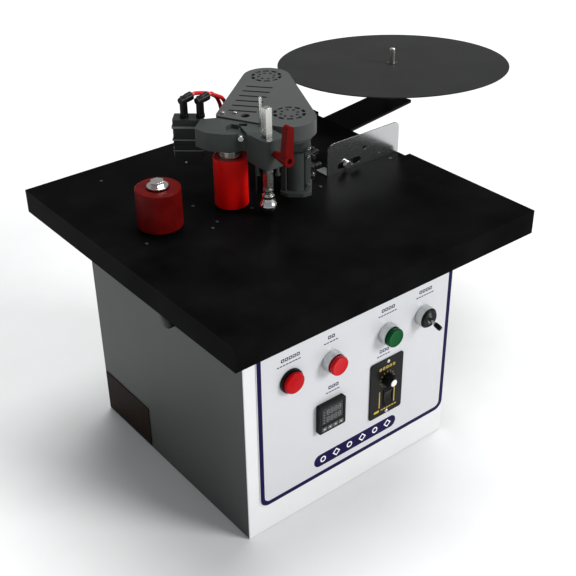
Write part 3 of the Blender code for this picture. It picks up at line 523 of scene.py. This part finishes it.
def seven_segments(x, z, width, height, thick):
    """The bars of one unlit digit, its lower left corner at x, z."""
    bars = []
    for row in range(3):
        level = z + row * (height - thick) / 2
        bars.append(bar(x + thick, x + width - thick, level, level + thick, 0, MARK_OUT))
    for side in (x, x + width - thick):
        for row in range(2):
            level = z + thick * 0.9 + row * (height - thick) / 2
            top = level + (height - 3 * thick) / 2 + 0.5
            bars.append(bar(side, side + thick, level + 0.1, top, 0, MARK_OUT))
    return bars


def make_temperature_face():
    low, high = low_of("temperature_controller"), high_of("temperature_controller")
    face = low.y
    window = slab(rounded_rectangle(low.x + 5, high.x - 5, low.z + 14.6, high.z - 5, 1), 0, 0.5)
    piece("temperature_window", on_front(window, y=face + 0.8), "display", bevel=0.15)
    digits = []
    for row in range(2):
        for column in range(4):
            corner = (low.x + 13.5 + 7.2 * column, low.z + 17.5 + 12.6 * row)
            digits += seven_segments(*corner, 5.0, 9.0, 1.1)
    for row in range(5):
        level = low.z + 17.6 + 4.6 * row
        digits.append(bar(low.x + 7.5, low.x + 10.4, level, level + 1.2, 0, MARK_OUT))
    piece("temperature_digits", on_front(together(*digits), y=face + 0.3), "segment", bevel=0)
    for index in range(4):
        key = f"temperature_key_{index + 1}"
        centre, front = middle(key), low_of(key).y
        mark = slab(ngon(3, 1.5, math.radians(90 + 60 * (index % 2))), 0, MARK_OUT)
        piece(f"{key}_mark", on_front(mark, centre.x, centre.z, front), "white_print", f"key_{index + 1}", 0)


def make_speed_face():
    low, high = low_of("speed_controller"), high_of("speed_controller")
    face = low.y
    knob = middle("speed_knob")
    gold = []
    for index in range(5):
        start = low.x + 17 + index * 6.6
        outer = (start, start + 4.6, high.z - 17, high.z - 12.4)
        inner = (start + 1.3, start + 3.3, high.z - 15.8, high.z - 13.6)
        gold.append(hollow(outer, inner, (0.7, 0.3), MARK_OUT))
    half_sweep, steps = 135, 10
    for step in range(steps + 1):
        turn = Matrix.Rotation(math.radians(half_sweep - 2 * half_sweep * step / steps), 4, "Z")
        tick = bar(-0.4, 0.4, 12.2, 14.6, 0, MARK_OUT)
        gold.append(moved(tick, turn, (knob.x, knob.z, 0)))
    for x in (low.x + 19.2, low.x + 49):
        gold.append(bar(x - 0.9, x + 0.9, low.z + 16, low.z + 46, 0, MARK_OUT))
    plate = rounded_rectangle(low.x + 9, low.x + 19, low.z + 8.5, low.z + 12.6, 0.8, 2)
    gold.append(slab(plate, 0, MARK_OUT))
    for index in range(6):
        start = low.x + 23 + index * 5.4
        gold.append(bar(start, start + 4, low.z + 9.4, low.z + 11.4, 0, MARK_OUT))
    piece("speed_marks", on_front(together(*gold), y=face), "gold_print", bevel=0)
    heads = [moved(screw_head(3.0, 1.6), (low.x + 34, height, 0)) for height in (low.z + 5, high.z - 5)]
    piece("speed_screws", on_front(together(*heads), y=face), "steel", bevel=0.1)
    outer = rounded_rectangle(57.6, 78, 114.8, 147.7, 1.6, 4)
    inner = rounded_rectangle(59.6, 76.0, 117.0, 145.6, 0.8, 4)
    piece("rocker_frame", on_front(frame_slab(outer, inner, 0, 1.4), y=face), "black_plastic", bevel=0.3)


def make_knob_trim():
    """The ribs round the speed knob, and the pale cap and the pointer on its front."""
    knob = middle("speed_knob")
    front = low_of("speed_knob").y
    count, radius = 18, 9.3
    ribs = []
    for step in range(count):
        rib = slab(rounded_rectangle(-0.55, 0.55, -0.5, 0.5, 0.4, 2), 1.0, 8.5)
        ribs.append(moved(rib, (radius, 0, 0), Matrix.Rotation(math.tau * step / count, 4, "Z")))
    ring = on_front(together(*ribs), knob.x, knob.z, front + 13.4)
    piece("knob_ribs", ring, "black_plastic", "knob", 0.15)
    cap = turned([(5.6, 0), (5.6, 0.5), (5.1, 1.0), (0, 1.2)], 40)
    piece("knob_cap", on_front(cap, knob.x, knob.z, front), "white_print", "knob", 0)
    pointer = bar(-0.5, 0.5, 1.5, 6.6, 0, 0.3)
    piece("knob_pointer", on_front(pointer, knob.x, knob.z, front), "black_plastic", "knob", 0)


def make_buttons():
    lens = middle("lamp_lens")
    profile = [(16.5, 0), (16.5, 5.0), (15.9, 6.6)]
    for ring in range(4):
        radius, height = 14.6 - 3.2 * ring, 7.6 + 0.45 * ring
        profile += [(radius, height), (radius - 1.0, height - 0.4)]
    profile.append((0, 9.4))
    fine = on_front(turned(profile, 72), lens.x, lens.z, high_of("lamp_lens").y)
    piece("lens_fine", fine, "red_lens", "machine", 0, ["lamp_lens"])
    for which, finish in (("stop", "red_cap"), ("start", "green_cap")):
        node = f"{which}_button_cap"
        cap, back = middle(node), high_of(node).y
        depth = back - low_of(node).y
        profile = [(14.8, 0), (14.8, depth - 2.0), (14.3, depth - 0.8), (13.5, depth - 0.15), (12.7, depth)]
        profile += [(11.9, depth - 0.5), (9.5, depth - 0.9), (0, depth - 1.1)]
        fine = on_front(turned(profile, 72), cap.x, cap.z, back)
        piece(f"{which}_cap_fine", fine, finish, f"{which}_button", 0, [node])


def make_toggle_trim():
    """The rim and the black face round the toggle's mouth, and the sleeve on its tip."""
    collar = middle("selector_collar")
    front = low_of("selector_collar").y
    rim = [(15.9, -2.3), (13.1, 0.9), (12, 0.9), (12, 0.05), (12.9, 0.05), (15.5, -2.3)]
    ring = on_front(turned(rim, 64, True), collar.x, collar.z, front)
    piece("selector_rim", ring, "black_plastic", bevel=0)
    disc = frame_slab(oval(12.4, 12.4), oval(4.9, 10.9), 0, 0.9)
    piece("selector_face", on_front(disc, collar.x, collar.z, front), "black_plastic", bevel=0.15)
    tip = turned([(3.3, 15), (3.7, 15.8), (4.0, 24), (3.4, 26.5), (0, 27)], 32)
    lean = Matrix.Rotation(TOGGLE_TILT, 4, "X") @ TO_FRONT
    piece("toggle_tip", moved(tip, lean, TOGGLE_PIVOT), "black_plastic", "selector", 0)


# ---------------------------------------------------------------- fasteners and fittings

def make_table_screws():
    places = [(-99.5, 42.2), (-100, -17.5), (-115.3, -28.7), (-207.9, -7.4), (-39.8, -16.9), (224.5, -22.1)]
    places += [(79.2, -26.5), (-159.2, 197.1)]
    heads = [moved(screw_head(2.6, 1.0), (x, y, TABLE_TOP)) for x, y in places]
    piece("table_screws", together(*heads), "dark_steel", bevel=0.08)


def make_head_screws():
    top = high_of("drive_cover").z
    on_cover = ((-33, 53.5), (-19.5, 42.5))
    in_valley = (-52.5, -15.2, 520.5)
    heads = [moved(socket_head(3.2, 2.6), (x, y, top)) for x, y in on_cover]
    heads.append(moved(socket_head(4.2, 4.4), TO_FRONT, TURNED, in_valley))
    piece("head_screws", together(*heads), "steel", bevel=0.15)


def on_pot(shape):
    """A shape drawn round the pot's own middle, turned and moved to the pot."""
    return moved(shape, TURNED, POT_PLACE)


def make_pot_fittings():
    """The screws on the pot's face, the band round its top and the bolts on its right side."""
    screws = []
    for across, face, height in (
        (19.5, -19.4, 484), (-17.5, -19.4, 484), (18, -12.5, 424), (18, -12.5, 468), (-17, -12.5, 424),
    ):
        screws.append(on_pot(moved(socket_head(2.5, 2.2), TO_FRONT, (across, face, height))))
    piece("pot_screws", together(*screws), "steel", bevel=0.1)
    outer = rounded_rectangle(-21.6, 21.6, -20.6, 20.6, 12, 8)
    inner = rounded_rectangle(-20.9, 20.9, -19.9, 19.9, 11.4, 8)
    piece("pot_band", on_pot(frame_slab(outer, inner, 478, 479.2)), "dark_steel", bevel=0.1)
    bolt = [(1.6, 0), (1.6, 2.6), (2.8, 2.6), (2.8, 4.6), (2.3, 5.2), (0, 5.2)]
    bolts = [on_pot(moved(turned(bolt, 20), TO_RIGHT, (21.2, 4, height))) for height in (430, 444, 473)]
    piece("pot_side_bolts", together(*bolts), "dark_steel", bevel=0.1)


def make_feed_fittings():
    """The springs, rods and small screws beside the pot, and the coil in the tape guide's slot."""
    springs = [
        moved(helix(3.4, 0.7, 2.4, 5.5), TO_RIGHT, (89.4, 11, 446)),
        moved(helix(3.0, 0.6, 2.2, 5.0), TO_RIGHT, (89.4, 1, 430)),
        moved(helix(3.2, 0.6, 2.4, 6.0), (80.5, 13.6, 462.8)),
    ]
    piece("feed_springs", together(*springs), "dark_steel", bevel=0)
    upper = [(1.7, -1), (1.7, 14), (3.0, 14), (3.0, 16.4), (2.4, 17), (0, 17)]
    lower = [(1.5, -1), (1.5, 11), (2.8, 11), (2.8, 13.4), (2.2, 14), (0, 14)]
    rods = [
        moved(turned(upper, 20), TO_RIGHT, (88.6, 11, 446)),
        moved(turned(lower, 20), TO_RIGHT, (88.6, 1, 430)),
    ]
    piece("feed_rods", together(*rods), "dark_steel", bevel=0.1)
    heads = [moved(socket_head(2.6, 2.0), TO_FRONT, (x, -4, 420)) for x in (76.6, 84.4)]
    piece("infeed_screws", together(*heads), "steel", bevel=0.1)
    coil = moved(helix(3.1, 0.75, 2.0, 3.5), TO_RIGHT, (147.9, -4.3, 421))
    piece("guide_coil", coil, "dark_steel", bevel=0)


def make_cutter_trim():
    heights = ((512.4, 515.6), (494.2, 496.2), (478.2, 479.8))
    strips = [moved(bar(-39.6, 3.4, 0, 0.36, low, high), TURNED, CUTTER_PLACE) for low, high in heights]
    piece("cutter_strips", together(*strips), "trim_grey", bevel=0.05)
    screw = moved(screw_head(2.2, 1.6), TO_FRONT, (-22, 0.2, 461), TURNED, CUTTER_PLACE)
    piece("cutter_screw", screw, "steel", bevel=0.08)


def on_reel(shape):
    """A shape drawn round the disc's centre, leaning as the disc does."""
    upward = Vector((math.tan(REEL_LEAN[0]), math.tan(REEL_LEAN[1]), 1))
    return moved(shape, upward.to_track_quat("Z", "Y").to_matrix().to_4x4(), REEL_PLACE)


def make_reel_trim():
    disc = [(5.4, -4), (24, -4), (24, -2), (197.9, -2), (198.5, -1.4), (198.5, -0.6), (197.9, 0), (5.4, 0)]
    fine = on_reel(turned(disc, 160, True))
    piece("reel_disc_fine", fine, "reel_grey", "reel", 0, ["reel_disc"])
    washer = frame_slab(ngon(48, 9.5), ngon(48, 5.6), 0, 0.8)
    piece("reel_washer", on_reel(washer), "dark_steel", "reel", 0.15)


make_rollers()
make_hold_down()
make_print()
make_temperature_face()
make_speed_face()
make_knob_trim()
make_buttons()
make_toggle_trim()
make_table_screws()
make_head_screws()
make_pot_fittings()
make_feed_fittings()
make_cutter_trim()
make_reel_trim()


# ---------------------------------------------------------------- floor, light and camera

def make_floor():
    """A pale floor just under the machine."""
    reach, level = 30.0, -0.0006
    shape = bmesh.new()
    corners = ((-reach, -reach), (reach, -reach), (reach, reach), (-reach, reach))
    shape.faces.new([shape.verts.new((x, y, level)) for x, y in corners])
    mesh = bpy.data.meshes.new("floor")
    shape.to_mesh(mesh)
    shape.free()
    made = bpy.data.objects.new("floor", mesh)
    bpy.context.scene.collection.objects.link(made)
    pale = material("floor_pale", (0.86, 0.86, 0.86), 0.7, vary=0.01, grain=60, bump=0.0, specular=0.1)
    mesh.materials.append(pale)


def soft_sun(name, source, strength, spread_degrees):
    """Light from a far, wide source, so that the whole floor gets the same light."""
    data = bpy.data.lights.new(name, "SUN")
    data.energy = strength
    data.angle = math.radians(spread_degrees)
    made = bpy.data.objects.new(name, data)
    made.rotation_euler = (-Vector(source)).to_track_quat("-Z", "Y").to_euler()
    bpy.context.scene.collection.objects.link(made)


def make_light():
    world = bpy.data.worlds.new("studio")
    world.use_nodes = True
    background = world.node_tree.nodes["Background"]
    background.inputs["Color"].default_value = (0.96, 0.98, 1.0, 1)
    background.inputs["Strength"].default_value = 0.34
    bpy.context.scene.world = world
    soft_sun("key", (1.45, -2.2, 1.2), 2.3, 24)
    soft_sun("top", (0.65, 0.3, 2.2), 2.2, 38)


def make_camera():
    """The camera, which looks along azimuth, down by height, and is tilted by roll."""
    place = (-0.80007, -1.05848, 1.08457)
    azimuth, height, roll = math.radians(38.331), math.radians(32.091), math.radians(0.761)
    level = Vector((math.sin(azimuth), math.cos(azimuth), 0))
    forward = level * math.cos(height) - Vector((0, 0, math.sin(height)))
    right = Vector((math.cos(azimuth), -math.sin(azimuth), 0))
    up = right.cross(forward)
    tilted_right = right * math.cos(roll) - up * math.sin(roll)
    tilted_up = up * math.cos(roll) + right * math.sin(roll)
    data = bpy.data.cameras.new("camera")
    data.lens = 64.18
    data.sensor_width = 36.0
    data.clip_start = 0.05
    data.clip_end = 200
    made = bpy.data.objects.new("camera", data)
    turn = Matrix((tilted_right, tilted_up, -forward)).transposed().to_4x4()
    made.matrix_world = Matrix.Translation(place) @ turn
    bpy.context.scene.collection.objects.link(made)
    bpy.context.scene.camera = made


make_floor()
make_light()
make_camera()
bpy.context.scene.view_settings.view_transform = "Standard"
